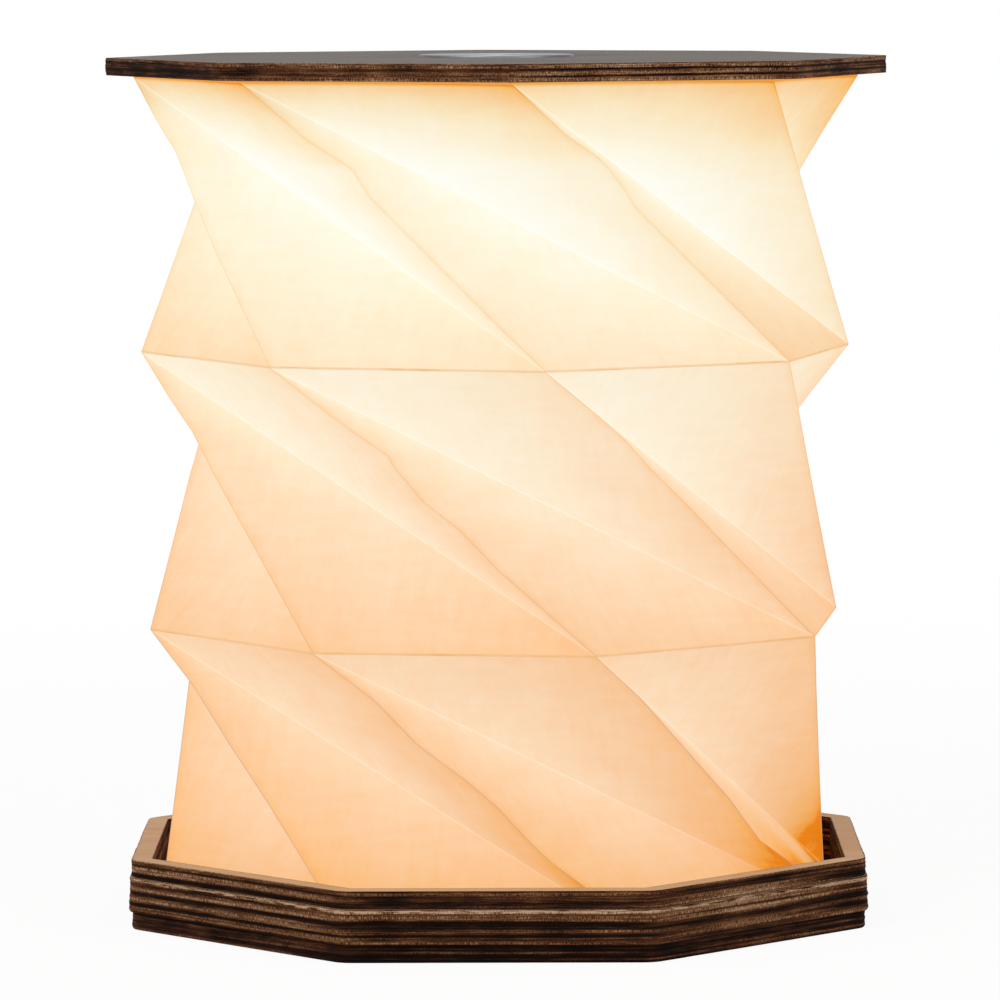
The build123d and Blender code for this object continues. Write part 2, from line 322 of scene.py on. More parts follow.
# %% Mesh helpers
def mesh_object(name, points, faces, body, smooth=True):
    """A mesh object from a point array and a face array, riding on a body."""
    mesh = bpy.data.meshes.new(name)
    mesh.vertices.add(len(points))
    mesh.vertices.foreach_set("co", np.ascontiguousarray(points, np.float32).ravel())
    mesh.loops.add(faces.size)
    mesh.loops.foreach_set("vertex_index", np.ascontiguousarray(faces, np.int32).ravel())
    mesh.polygons.add(len(faces))
    mesh.polygons.foreach_set("loop_start", np.arange(0, faces.size, faces.shape[1], dtype=np.int32))
    mesh.update(calc_edges=True)
    mesh.polygons.foreach_set("use_smooth", np.full(len(faces), smooth))
    obj = bpy.data.objects.new(name, mesh)
    bpy.context.scene.collection.objects.link(obj)
    if body:
        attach(obj, body)
    return obj


def paint(obj, name, values, domain="POINT"):
    """Stores one number per point or per face corner as an attribute that a material can read."""
    attribute = obj.data.attributes.new(name, "FLOAT", domain)
    attribute.data.foreach_set("value", np.ascontiguousarray(values, np.float32).ravel())


def set_uv(obj, coordinates):
    layer = obj.data.uv_layers.new(name="UVMap")
    layer.data.foreach_set("uv", np.ascontiguousarray(coordinates, np.float32).ravel())


def split(quads):
    """Two triangles from each four-sided face: all the first halves, then all the second ones."""
    return np.concatenate([quads[:, [0, 1, 2]], quads[:, [0, 2, 3]]])


def corner_normals(points, corners, face_normals):
    """The mean direction of the faces round each point. corners holds one tuple of indices per face
    corner."""
    normals = np.zeros_like(points)
    for corner in corners:
        np.add.at(normals, corner, face_normals)
    return unit(normals)


print("helpers for meshes ready")

# %% [markdown]
# The flat pattern of a storey gives its texture coordinates, so fibres run unbroken across the creases.
# All that is painted is worked out on the two square grids first and then picked at the triangles'
# corners.

# %% Skin of a storey
PAPER = 0.3 * MM
BULGE = 20
SLANT_RISE, SLANT_START, SLANT_MOST = 0.36, 0.08, 0.2
SLANT_ASIDE, SLANT_OVER = 0.45, 0.4


def paper_skin(storey):
    """Points and triangles of a storey's outer skin, and painted values per triangle corner. The flat
    pattern follows from the lengths of a side, a ridge and a furrow: the ridge leans sideways by (ridge
    squared - furrow squared + side squared) / (2 x side). The middle of a facet bulges by up to a quarter
    of a millimetre."""
    ridges, furrows = fold_lines(storey)
    edges = ridges[-1, 1] - ridges[-1, 0], ridges[-1, 0] - ridges[0, 0], furrows[-1, 0] - furrows[0, 0]
    side, ridge, furrow = (np.linalg.norm(edge, axis=-1) for edge in edges)
    lean = (ridge**2 - furrow**2 + side**2) / (2 * side)
    pattern_height = math.sqrt(ridge**2 - lean**2)
    shared = np.zeros((SIZE * COLUMNS, 3))
    painted = []
    for narrow, (rows, places, share, inside, triangles) in enumerate(grids):
        left, right = (furrows, np.roll(ridges, -1, 1)) if narrow else (ridges, furrows)
        t = share[..., None, None]
        points = left[:, None] * (1 - t) + right[:, None] * t
        down = rows / ROWS
        column = (places + rows * narrow)[..., None] + CORNERS * ROWS
        number = rows[..., None] * COLUMNS + column % COLUMNS
        if narrow:
            flat_x = (1 - down) * (lean + share * side) + down * side
            bulge = (1 - down) ** 2 * down * share * (1 - share)
        else:
            flat_x = (1 - down) * lean + down * share * side
            bulge = (1 - down) * down**2 * share * (1 - share)
        flat_y = (1 - down[..., None]) * pattern_height
        width = np.linalg.norm(right - left, axis=-1)[:, None]
        down, from_ridge = down[..., None], (1 - share if narrow else share)[..., None]
        row, place = np.divmod(triangles, SIZE)
        a, b, c = points[row.T, place.T]
        normals = corner_normals(points, zip(row.T, place.T), unit(np.cross(b - a, c - a)))
        points += BULGE * bulge[..., None, None] * PAPER * normals
        shared[number[inside].ravel()] = points[inside].reshape(-1, 3)
        slant = np.clip((normals[..., 0] - SLANT_ASIDE) / SLANT_OVER, 0, 0.5) if narrow else down**1.5
        values = {
            "number": number,
            "glow": light_level(points, normals, down, from_ridge, narrow),
            "slant_loss": np.clip(SLANT_RISE * rise_of(points[..., 2]) - SLANT_START, 0, SLANT_MOST) * slant,
            "ridge_gap": width * from_ridge * pattern_height / ridge,
            "furrow_gap": width * (1 - from_ridge) * pattern_height / furrow,
            "flat": np.stack(np.broadcast_arrays(flat_x[..., None] + CORNERS * side, flat_y), -1),
        }
        painted.append({
            key: np.moveaxis(value[row, place], 2, 0).reshape(-1, 3, *value.shape[3:])
            for key, value in values.items()
        })
    painted = {key: np.concatenate([part[key] for part in painted]) for key in values}
    return shared, painted.pop("number"), painted


print("paper", PAPER / MM, "mm thick")

# %% [markdown]
# A piece of paper is some rows of that skin, an inner skin behind it and a strip of triangles along both
# ends. The strip is hidden, so it gets plain values.

# %% Pieces of paper
END_VALUES = {"glow": 0.4, "slant_loss": 0.01, "ridge_gap": 0.01, "furrow_gap": 0.01, "flat": 0.0}


def sharpen_creases(obj, count, first_row, last_row):
    """Marks ridges, furrows and the two ends as sharp. A ridge stays in its column, a furrow moves on with
    the rows, and both step one row within one skin of count points."""
    pairs = np.zeros(len(obj.data.edges) * 2, np.int32)
    obj.data.edges.foreach_get("vertices", pairs)
    pairs = pairs.reshape(-1, 2)
    row, column = np.divmod(pairs % count, COLUMNS)
    row += first_row
    step = (np.abs(row[:, 0] - row[:, 1]) == 1) & ((pairs[:, 0] < count) == (pairs[:, 1] < count))
    ridge = (column[:, 0] == column[:, 1]) & (column[:, 0] % ROWS == 0)
    furrow = ((column - row) % ROWS == 0).all(1)
    end = (row[:, 0] == row[:, 1]) & np.isin(row[:, 0], (first_row, last_row))
    obj.data.edges.foreach_set("use_edge_sharp", step & (ridge | furrow) | end)


def paper_piece(name, storey, first_row, last_row, body):
    """The rows first_row to last_row of a storey as a closed sheet with an outer and an inner skin."""
    points, triangles, painted = paper_skin(storey)
    a, b, c = points[triangles.T]
    normals = corner_normals(points, triangles.T, np.cross(b - a, c - a))
    rows = triangles // COLUMNS
    kept = (rows.min(1) >= first_row) & (rows.max(1) <= last_row)
    part = slice(first_row * COLUMNS, (last_row + 1) * COLUMNS)
    outer = points[part]
    inner = outer - PAPER * normals[part]
    count = len(outer)
    faces = triangles[kept] - part.start
    ring = np.arange(COLUMNS)
    after = np.roll(ring, -1)
    top = np.stack([[ring, after, ring + count], [after, after + count, ring + count]]).transpose(0, 2, 1)
    top = top.reshape(-1, 3)
    ends = np.concatenate([top, top[:, ::-1] + count - COLUMNS])
    faces = np.concatenate([faces, faces[:, ::-1] + count, ends])
    obj = mesh_object(name, np.concatenate([outer, inner]), faces, body)
    for key, value in painted.items():
        skin = value[kept]
        edge = np.full((len(ends), *skin.shape[1:]), END_VALUES[key])
        both = np.concatenate([skin, skin[:, ::-1], edge])
        if key == "flat":
            set_uv(obj, both)
        else:
            paint(obj, key, both, "CORNER")
    height = np.tile(outer[:, 2], 2)
    index = STOREYS.index(storey)
    paint(obj, "level_gap", np.minimum(height - levels[index], levels[index + 1] - height))
    paint(obj, "rise", rise_of(height))
    sharpen_creases(obj, count, first_row, last_row)
    return obj


print("painted on the paper:", list(END_VALUES))

# %% [markdown]
# Each storey is two pieces. The main one rides on the body at its foot. The topmost row is a narrow
# strip of its own, which rides on no body.

# %% The three storeys
BODIES = ("tray", "lower_joint", "upper_joint", "lid")
paper_pieces = []
for index, storey in enumerate(STOREYS):
    main = paper_piece(f"paper_{storey}", storey, 1, ROWS, BODIES[index])
    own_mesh(main)
    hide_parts(f"shade_storey_{storey}")
    strip = paper_piece(f"paper_{storey}_top", storey, 0, 1, None)
    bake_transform(strip)
    for piece in (main, strip):
        paper_pieces.append(piece)

# %% [markdown]
# ## Glued flaps
# At each octagon the paper is turned in and glued, one mitred flap per side. They hide inside the shade.
# Only the top ring's folded edge shows, as a thin orange line under the lid. Each ring is eight thin slabs
# with a half-round outer edge.

# %% Flaps
FLAP_WIDTH, FLAP_GAP, FLAP_TUCK = 9 * MM, 0.3 * MM, 0.4 * MM
FLAP_STEPS, BEND_POINTS = 12, 7


def flap_ring(name, level, node):
    """Eight mitred slabs. The section is a flat strip with a half-round outer edge; its ends follow the
    mitre, so a point's sideways place is its distance from the axis times the tangent of half a side's
    turn."""
    radius, turn = octagons[level]
    low, high = (corner.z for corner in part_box(node))
    outer = radius * math.cos(SIDE_TURN / 2) - FLAP_TUCK
    bend = np.linspace(-math.pi / 2, math.pi / 2, BEND_POINTS)
    half = (high - low) / 2
    reach = np.concatenate([outer - half * (1 - np.cos(bend)), np.full(2, outer - FLAP_WIDTH)])
    height = np.concatenate([low + half + half * np.sin(bend), [high, low]])
    end = reach * math.tan(SIDE_TURN / 2) - FLAP_GAP
    turns = (turn + (CORNERS + 0.5) * SIDE_TURN)[:, None, None]
    along = np.linspace(-1, 1, FLAP_STEPS + 1)[:, None] * end
    x = along * np.cos(turns) + reach * np.sin(turns)
    y = along * np.sin(turns) - reach * np.cos(turns)
    points = np.stack([x, y, np.broadcast_to(height, x.shape)], -1)
    numbers = np.arange(x.size).reshape(x.shape)
    after = np.roll(numbers, -1, 2)
    sides = np.stack([numbers[:, :-1], numbers[:, 1:], after[:, 1:], after[:, :-1]], -1).reshape(-1, 4)
    steps = np.arange(1, len(reach) - 1)
    fan = np.stack([0 * steps, steps, steps + 1], -1)
    caps = np.stack([numbers[:, 0][:, fan], numbers[:, -1][:, fan[:, ::-1]]], 1).reshape(-1, 3)
    faces = np.concatenate([split(sides), caps])
    obj = mesh_object(name, points.reshape(-1, 3), faces, BODIES[level], smooth=False)
    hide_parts(node)
    return obj


flap_pieces = [
    flap_ring("base_flaps", 0, "shade_base_flaps"),
    flap_ring("lower_joint_flaps", 1, "shade_joint_flaps_lower"),
    flap_ring("upper_joint_flaps", 2, "shade_joint_flaps_upper"),
    flap_ring("top_flaps", 3, "shade_top_flaps"),
]
print([piece.name for piece in flap_pieces])

# %% [markdown]
# ## Laser-cut plywood
# The lid and the tray's four sheets are three-ply birch, cut by laser. The cut face is charred: dark at
# the glue lines and wherever two sheets meet, brown in the middle of each veneer. Bands painted on a plain
# block would look flat, so the plies stand out and step back here by a tenth of a millimetre, and the char
# is rough. Each sheet is a section of stations carried round an octagon. What is burnt is worked out with
# the shape, and the material reads it back.

# %% Octagonal path and rough char
CORNER_STEPS, SIDE_STEPS = 10, 80
AROUND = SIDES * (CORNER_STEPS + SIDE_STEPS)
EDGE_STATIONS = 41
rng = np.random.default_rng(7)


def octagon_path(half_width, rounding, turn):
    """Points round an octagon with rounded corners: an arc about each corner, then a straight side. The
    step counts don't change with the size, so two paths of different size can be joined point by point."""
    turns = (turn + CORNERS * SIDE_TURN)[:, None]
    reach = (half_width - rounding) / math.cos(SIDE_TURN / 2)
    angle = turns + np.linspace(-SIDE_TURN / 2, SIDE_TURN / 2, CORNER_STEPS + 1)
    arc_x = reach * np.sin(turns) + rounding * np.sin(angle)
    arc_y = -reach * np.cos(turns) - rounding * np.cos(angle)
    weight = np.linspace(0, 1, SIDE_STEPS + 1)[1:-1]
    arcs = np.stack([arc_x, arc_y], -1)
    sides = arcs[:, -1:] * (1 - weight[:, None]) + np.roll(arcs[:, :1], -1, 0) * weight[:, None]
    return np.concatenate([arcs, sides], 1).reshape(-1, 2)


def smooth_noise(row_width, column_width):
    """Random numbers for a cut face, smoothed along the closed path and from row to row, with a standard
    deviation of one."""
    noise = rng.standard_normal((EDGE_STATIONS, AROUND))
    for axis, width in ((0, row_width), (1, column_width)):
        frequency = np.fft.fftfreq(noise.shape[axis])
        fall = np.exp(-2 * (math.pi * frequency * width) ** 2).reshape((-1, 1) if axis == 0 else (1, -1))
        noise = np.fft.ifft(np.fft.fft(noise, axis=axis) * fall, axis=axis).real
    return noise / noise.std()


print("points round an octagon:", AROUND)

# %% [markdown]
# A sheet's cut face is described by short tables from its underside to its top: how charred each height
# is, from 0, bare birch, to 100, black. Most of the outline has the usual table. To the left and to the
# right the laser burnt it in another pattern.

# %% Char tables, in per cent
USUAL_CHAR = {
    "top": ((0, 90), (8, 94), (40, 92), (50, 80), (60, 72), (86, 60), (94, 62), (100, 85)),
    "middle": (
        (0, 97), (4, 100), (27, 100), (31, 80), (36, 53), (42, 53), (52, 64), (68, 70), (74, 55), (79, 16),
        (88, 10), (93, 30), (100, 85),
    ),
    "lower": (
        (0, 75), (4, 60), (10, 42), (17, 50), (25, 60), (38, 64), (44, 95), (58, 95), (64, 70), (75, 60),
        (86, 68), (94, 93), (100, 100),
    ),
    "floor": (
        (0, 95), (12, 100), (16, 80), (24, 74), (30, 97), (50, 98), (56, 78), (64, 80), (70, 98), (80, 90),
        (90, 100), (100, 100),
    ),
    "lid": (
        (0, 60), (6, 50), (26, 50), (30, 80), (37, 85), (42, 52), (60, 54), (64, 80), (71, 85), (76, 48),
        (94, 45), (100, 75),
    ),
    "inside": ((0, 97), (20, 74), (30, 70), (36, 97), (60, 95), (68, 70), (92, 68), (100, 90)),
}
LEFT_CHAR = {
    "top": (
        (0, 80), (6, 88), (11, 100), (23, 100), (29, 75), (35, 53), (46, 43), (58, 42), (63, 52), (69, 72),
        (74, 87), (80, 85), (86, 62), (94, 40), (100, 30),
    ),
    "middle": (
        (0, 82), (9, 95), (20, 95), (26, 73), (32, 53), (37, 42), (43, 42), (49, 57), (60, 76), (71, 74),
        (77, 58), (83, 30), (89, 18), (94, 34), (100, 62),
    ),
    "lower": (
        (0, 80), (11, 76), (17, 65), (23, 49), (29, 48), (34, 57), (40, 80), (46, 92), (57, 92), (63, 64),
        (69, 46), (86, 45), (94, 52), (100, 66),
    ),
    "floor": ((0, 68), (14, 72), (22, 88), (33, 93), (40, 78), (55, 82), (90, 84), (100, 80)),
    "lid": ((0, 52), (10, 62), (30, 68), (44, 76), (60, 66), (94, 65), (100, 60)),
}
RIGHT_CHAR = {
    "top": ((0, 60), (9, 36), (33, 50), (46, 60), (55, 93), (84, 92), (94, 55), (100, 50)),
    "middle": (
        (0, 90), (6, 70), (15, 50), (30, 48), (42, 64), (47, 70), (55, 52), (67, 33), (80, 40), (94, 50),
        (100, 72),
    ),
    "lower": (
        (0, 85), (15, 77), (27, 60), (38, 42), (46, 36), (58, 45), (70, 60), (82, 86), (94, 95), (100, 90),
    ),
    "floor": ((0, 75), (9, 64), (20, 66), (30, 77), (48, 75), (60, 93), (80, 80), (100, 88)),
    "lid": (
        (0, 66), (26, 62), (31, 90), (37, 90), (42, 66), (60, 66), (65, 90), (71, 90), (76, 64), (100, 64),
    ),
}
print("char tables for", list(USUAL_CHAR))

# %% [markdown]
# The cut face is those tables made rough. How far the plies stand out is a table too, in shares of the
# height and in millimetres. The places of the other patterns are in millimetres to the right of the
# middle.

# %% A cut face
GLUE_LINES, GLUE_HALF, GLUE_CHAR = (0.0, 0.3, 0.7, 1.0), 0.035, 0.14
TRAY_BURNS = ((-90, 1), (-46, 1), (-28, 0)), ((26, 0), (52, 1), (62, 1), (80, 0))
LID_BURNS = ((-90, 1), (0, 1), (13, 0)), ((58, 0), (70, 1))
FAR_LEFT, FAR_LEFT_CHAR, FAR_LEFT_WIDTH = 2.6, 0.14, 20 * MM
WIDE_SWING, FINE_SWING = 0.016, 0.005
ROUGH, WAVE, LID_RELIEF = 0.03 * MM, 0.05 * MM, 0.4
FRAY_PLACE, FRAY_WIDTH = 0.86, 0.09
PLY_RELIEF = (
    (0, -0.14), (0.04, 0), (0.27, 0), (0.32, -0.09), (0.38, -0.02), (0.62, -0.02), (0.68, -0.09), (0.73, 0),
    (0.96, 0), (1, -0.14),
)


def cut_face(bottom, top, char, fray=0.0, sideways=None):
    """Stations of a cut face from bottom to top: heights, how far each point stands out and how charred it
    is. The laser burnt some parts of the outline in another pattern, chosen by how far sideways a point
    lies."""
    lid = char == "lid"
    share = np.linspace(0, 1, EDGE_STATIONS)
    swing = WIDE_SWING * smooth_noise(6.0, 22.0) + FINE_SWING * smooth_noise(2.0, 2.0)
    place = share[:, None] + swing * np.sin(math.pi * share)[:, None]

    def char_from(table):
        return np.interp(place, *(np.array(table[char]).T / 100))

    relief = np.interp(place, *zip(*PLY_RELIEF)) * MM * (LID_RELIEF if lid else 1)
    rough = ROUGH * smooth_noise(0.8, 1.0)
    wave = WAVE * smooth_noise(3.0, 14.0)
    burnt = char_from(USUAL_CHAR)
    for line in GLUE_LINES:
        burnt += GLUE_CHAR * bell(place - line, GLUE_HALF)
    if sideways is not None:
        for table, places in zip((LEFT_CHAR, RIGHT_CHAR), LID_BURNS if lid else TRAY_BURNS):
            burnt += np.interp(sideways / MM, *zip(*places)) * (char_from(table) - burnt)
        burnt += FAR_LEFT_CHAR * lid * np.clip(-sideways / FAR_LEFT_WIDTH - FAR_LEFT, 0, 1)
    burnt += 0.05 * smooth_noise(0.7, 5.0)
    burnt += 0.07 * smooth_noise(1.6, 40.0)
    burnt += fray * bell(share - FRAY_PLACE, FRAY_WIDTH)[:, None] * np.clip(smooth_noise(0.6, 1.2), -1, 2)
    return bottom + share * (top - bottom), relief + rough + wave, np.clip(burnt, 0, 1)


print("stations on a cut face:", EDGE_STATIONS)

# %% [markdown]
# A station is the whole path at one place of a sheet's section, with its char and whether it is a cut
# edge. A sheet is a list of stations in the order in which they follow each other round the section.


# %% Sheets as swept sections
def sweep(name, stations, body, closed=True):
    """Joins stations, each (points round the path, char, edge mask), into a mesh. A closed section joins
    its last station to the first. An open one starts and ends on the axis, where a point closes each
    end."""
    points = np.stack([s[0] for s in stations])
    count, columns = points.shape[:2]
    row, column = np.meshgrid(np.arange(count if closed else count - 1), np.arange(columns), indexing="ij")
    spots = ((row, column), (row, column + 1), (row + 1, column + 1), (row + 1, column))
    along = np.concatenate([[0], np.cumsum(np.linalg.norm(np.diff(points, axis=0), axis=-1).mean(1))])
    along = np.append(along, along[-1] + 4 * MM)
    steps = np.linalg.norm(np.roll(points[0], -1, 0) - points[0], axis=-1)
    widest, first = np.linalg.norm(points, axis=-1).max(), np.linalg.norm(points[0], axis=-1).max()
    around = np.concatenate([[0], np.cumsum(steps)]) * widest / max(first, MM)
    quads = np.stack([r % count * columns + c % columns for r, c in spots], -1).reshape(-1, 4)
    flat = np.stack([np.stack([around[c], along[r]], -1) for r, c in spots], -2).reshape(-1, 4, 2)
    faces, uv = split(quads), split(flat)
    everywhere = points.reshape(-1, 3)
    char, edge = (np.concatenate([np.broadcast_to(s[i], columns) for s in stations]) for i in (1, 2))
    if not closed:
        ring = np.arange(columns)
        after = np.roll(ring, -1)
        total = len(everywhere)
        last = total - columns
        start_cap = np.stack([0 * ring + total, after, ring], -1)
        end_cap = np.stack([last + ring, last + after, 0 * ring + total + 1], -1)
        faces = np.concatenate([faces, start_cap, end_cap])
        uv = np.concatenate([uv, np.zeros((2 * columns, 3, 2))])
        everywhere = np.concatenate([everywhere, points[[0, -1]].mean(1)])
        char, edge = (np.append(values, values[[0, -1]]) for values in (char, edge))
    obj = mesh_object(name, everywhere, faces, body)
    paint(obj, "char", char)
    paint(obj, "edge", edge)
    set_uv(obj, uv)
    obj.data.set_sharp_from_angle(angle=math.radians(50))
    return obj


def flat_station(path, height, char, edge=0.0):
    return np.column_stack([path, np.full(len(path), height)]), char, edge


def wall_stations(half_width, rounding, turn, face, inward=False):
    """Turns a cut face's stations into points: each station's path is widened by how far it stands out."""
    base = octagon_path(half_width, rounding, turn)
    way = -MM if inward else MM
    outwards = (octagon_path(half_width + way, max(rounding + way, 0.05 * MM), turn) - base) / MM
    stations = [
        flat_station(base + outwards * proud[:, None], height, burnt, 1.0)
        for height, proud, burnt in zip(*face)
    ]
    return stations[::-1] if inward else stations


def face_stations(turn, height, spans):
    """Stations of a flat face. Each span is (half width, corner rounding, char)."""
    return [flat_station(octagon_path(half, rounding, turn), height, char) for half, rounding, char in spans]


print("ready to sweep sheets")

# %% [markdown]
# The tray is a floor sheet and three rings, all with the same outline. They don't line up perfectly: two
# rings stand a little proud and the floor is a little smaller, as in the imported model. The paper stands
# inside them.

# %% The tray's four sheets
TRAY_TURN, LID_TURN = octagons[0][1], octagons[3][1]
SHEET_ROUNDING, HOLLOW_ROUNDING = 6.0 * MM, 0.5 * MM
HOLLOW_HALF = 79 * MM
ARRIS = 0.16 * MM
RING_FACE = ((0, 0.4), (0.08, 0.08), (0.2, 0.03), (0.5, 0.03), (0.8, 0.03), (0.92, 0.12), (1, 0.7))
FLOOR_FACE = ((1, 0.9), (0.97, 0.08), (0.9, 0.08), (0.7, 0.08), (0.4, 0.08), (0.05, 0.08))


def sheet_sides(node, turn, char, fray=0.0):
    """A sheet's outer wall. Half its size between two flats is how far it reaches square to its front
    side."""
    low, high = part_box(node)
    facing = turn + SIDE_TURN / 2
    points = node_points(node)
    half = (points[:, 0] * math.sin(facing) - points[:, 1] * math.cos(facing)).max()
    sideways = octagon_path(half, SHEET_ROUNDING, turn)[:, 0]
    face = cut_face(low.z, high.z, char, fray, sideways)
    return half, low.z, high.z, wall_stations(half, SHEET_ROUNDING, turn, face)


def ring_stations(node, char, fray):
    """An octagonal frame: outer wall up, top face in, inner wall down, bottom face out again."""
    half, bottom, top, outer = sheet_sides(node, TRAY_TURN, char, fray)
    face = cut_face(bottom, top, "inside")
    inner = wall_stations(HOLLOW_HALF, HOLLOW_ROUNDING, TRAY_TURN, face, inward=True)
    spans = [
        (half - ARRIS + share * (HOLLOW_HALF + 2 * ARRIS - half),
         SHEET_ROUNDING + share * (HOLLOW_ROUNDING - SHEET_ROUNDING), burnt)
        for share, burnt in RING_FACE
    ]
    above, below = face_stations(TRAY_TURN, top, spans), face_stations(TRAY_TURN, bottom, spans[::-1])
    return outer + above + inner + below


def floor_stations(node, char):
    """A whole board: bottom face out, wall up, top face in."""
    half, bottom, top, outer = sheet_sides(node, TRAY_TURN, char)
    spans = [(share * (half - ARRIS), share * SHEET_ROUNDING, burnt) for share, burnt in FLOOR_FACE]
    return face_stations(TRAY_TURN, bottom, spans[::-1]) + outer + face_stations(TRAY_TURN, top, spans)


tray_pieces = []
for name, node, char, fray in (
    ("tray_floor_sheet", "tray_floor", "floor", 0.0),
    ("tray_lower_sheet", "tray_ring_lower", "lower", 0.0),
    ("tray_middle_sheet", "tray_ring_middle", "middle", 0.35),
    ("tray_upper_sheet", "tray_ring_upper", "top", 0.0),
):
    solid = char == "floor"
    stations = floor_stations(node, char) if solid else ring_stations(node, char, fray)
    piece = sweep(name, stations, "tray", closed=not solid)
    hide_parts(node)
    tray_pieces.append(piece)
print([(piece.name, len(piece.data.polygons)) for piece in tray_pieces])

# %% [markdown]
# The lid is one sheet. Its outline is the octagon, and its inner edge is a circle: a shallow seat for the
# metal disc and a bore for the light module. The faces between them slide from one outline to the other.

# %% The lid
SEAT_RADIUS, SEAT_DEPTH, BORE_RADIUS = 18.1 * MM, 0.7 * MM, 16.8 * MM
CHAMFER = 0.1 * MM
TOP_FACE = ((0, 0.75), (0.006, 0.45), (0.02, 0.0), (0.3, 0.0), (0.7, 0.0), (1, 0.0))
UNDER_FACE = ((1, 0.0), (0.7, 0.0), (0.3, 0.0), (0.02, 0.0), (0.006, 0.0), (0, 0.8))


def circle_path(radius, like):
    """Points on a circle, each in line with a point of another path."""
    return radius * like / np.linalg.norm(like, axis=1, keepdims=True)


def sliding_face(outline, radius, height, shares):
    circle = circle_path(radius, outline)
    return [flat_station(outline * (1 - share) + circle * share, height, burnt) for share, burnt in shares]


def plywood_lid(name, node):
    """Outer wall up, top face in, down the seat's wall, in over its floor, down the bore and out below."""
    half, bottom, top, outer = sheet_sides(node, LID_TURN, "lid", 0.1)
    outline = octagon_path(half - ARRIS, SHEET_ROUNDING, LID_TURN)
    seat, bore = circle_path(SEAT_RADIUS, outline), circle_path(BORE_RADIUS, outline)
    seat_floor = top - SEAT_DEPTH
    stations = outer + sliding_face(outline, SEAT_RADIUS + CHAMFER, top, TOP_FACE)
    stations += [flat_station(seat, top - depth * MM, 0.9, 1.0) for depth in (0.05, 0.4, 0.65)]
    for radius in (SEAT_RADIUS - CHAMFER, BORE_RADIUS + CHAMFER):
        stations.append(flat_station(circle_path(radius, outline), seat_floor, 0.6))
    for share in np.linspace(0.02, 0.98, 14):
        burnt = 0.93 if abs(share - 0.5) < 0.1 else 0.68
        stations.append(flat_station(bore, seat_floor - share * (seat_floor - bottom), burnt, 1.0))
    stations += sliding_face(outline, BORE_RADIUS + CHAMFER, bottom, UNDER_FACE)
    obj = sweep(name, stations, "lid")
    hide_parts(node)
    return obj


lid_piece = plywood_lid("lid_sheet", "lid_board")
print(lid_piece.name, len(lid_piece.data.polygons))

# %% [markdown]
# ## The turned metal disc
# The disc is round, so it is a profile turned about the axis. The profile runs from the underside's middle
# outwards, up and back to the middle, which makes every face look outwards. The other pieces of the light
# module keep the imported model's shapes.

# %% Turned disc
TURN_STEPS, DISH_STEPS = 160, 40
BEVEL, LINE_DEPTH, DISH_DEPTH = 0.25 * MM, 0.03 * MM, 0.02 * MM
MIDDLE_HOLE = 0.6 * MM


def touch_disc(name, node):
    """A thin disc with a small bevel, a raised rim line and a shallow dish between them. A point closes
    the profile of (radius, height) pairs at each end."""
    low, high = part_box(node)
    radius = high.x
    profile = [
        (MIDDLE_HOLE, low.z), (8 * MM, low.z), (radius - 0.1 * MM, low.z), (radius, low.z + 0.1 * MM),
        (radius, high.z - BEVEL), (radius - BEVEL / 3, high.z - BEVEL / 4), (radius - BEVEL, high.z),
        (radius - 0.6 * MM, high.z), (radius - 0.75 * MM, high.z - LINE_DEPTH),
    ]
    for r in np.linspace(radius - 0.9 * MM, MIDDLE_HOLE, DISH_STEPS):
        profile.append((r, high.z - LINE_DEPTH - DISH_DEPTH * (1 - (r / radius) ** 2)))
    angles = np.arange(TURN_STEPS) * 2 * math.pi / TURN_STEPS
    circle = np.stack([np.sin(angles), -np.cos(angles)], -1)
    stations = [flat_station(r * circle, height, 0.0) for r, height in profile]
    obj = sweep(name, stations, "light_module", closed=False)
    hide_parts(node)
    return obj


disc_piece = touch_disc("metal_disc", "touch_plate")
print(disc_piece.name, len(disc_piece.data.polygons))

# %% [markdown]
# ## Materials
# Everything below is made of nodes. A few helpers keep it readable. An output of a node can be added,
# subtracted and multiplied like a number, and each of these makes a Math node. Effects that several
# materials share are node groups with named sockets.


# %% Node helpers
class Value:
    """An output of a node. Each +, - or * makes a Math node and gives its output."""

    def __init__(self, socket):
        self.socket = socket

    def __add__(self, other):
        return maths("ADD", self, other)

    def __sub__(self, other):
        return maths("SUBTRACT", self, other)

    def __mul__(self, other):
        return maths("MULTIPLY", self, other)


def connect(node, inputs):
    """Joins a node's inputs to outputs of other nodes, or sets them to plain numbers and colours."""
    for key, value in inputs.items():
        if isinstance(value, Value):
            node.id_data.links.new(value.socket, node.inputs[key])
        else:
            node.inputs[key].default_value = value


def add(tree, kind, inputs=None, out=0, **settings):
    """Adds a node, sets it up and gives one of its outputs."""
    made = tree.nodes.new("ShaderNode" + kind)
    for key, value in settings.items():
        setattr(made, key, value)
    connect(made, inputs or {})
    return Value(made.outputs[out])


def follow(kind, inputs, out=0, **settings):
    """Adds a node to the tree of the outputs that feed it."""
    tree = next(value.socket.id_data for value in inputs.values() if isinstance(value, Value))
    return add(tree, kind, inputs, out, **settings)


print("outputs can be added, subtracted and multiplied")

# %% [markdown]
# Most patterns here are made of five kinds of node: ramps, mixes, arithmetic, smooth steps and noise.


# %% Nodes used often
def ramp(factor, *stops):
    """A colour ramp from (position, (red, green, blue)) stops."""
    made = follow("ValToRGB", {0: factor})
    elements = made.socket.node.color_ramp.elements
    while len(elements) < len(stops):
        elements.new(0.5)
    for element, (position, colour) in zip(elements, stops):
        element.position, element.color = position, (*colour, 1)
    return made


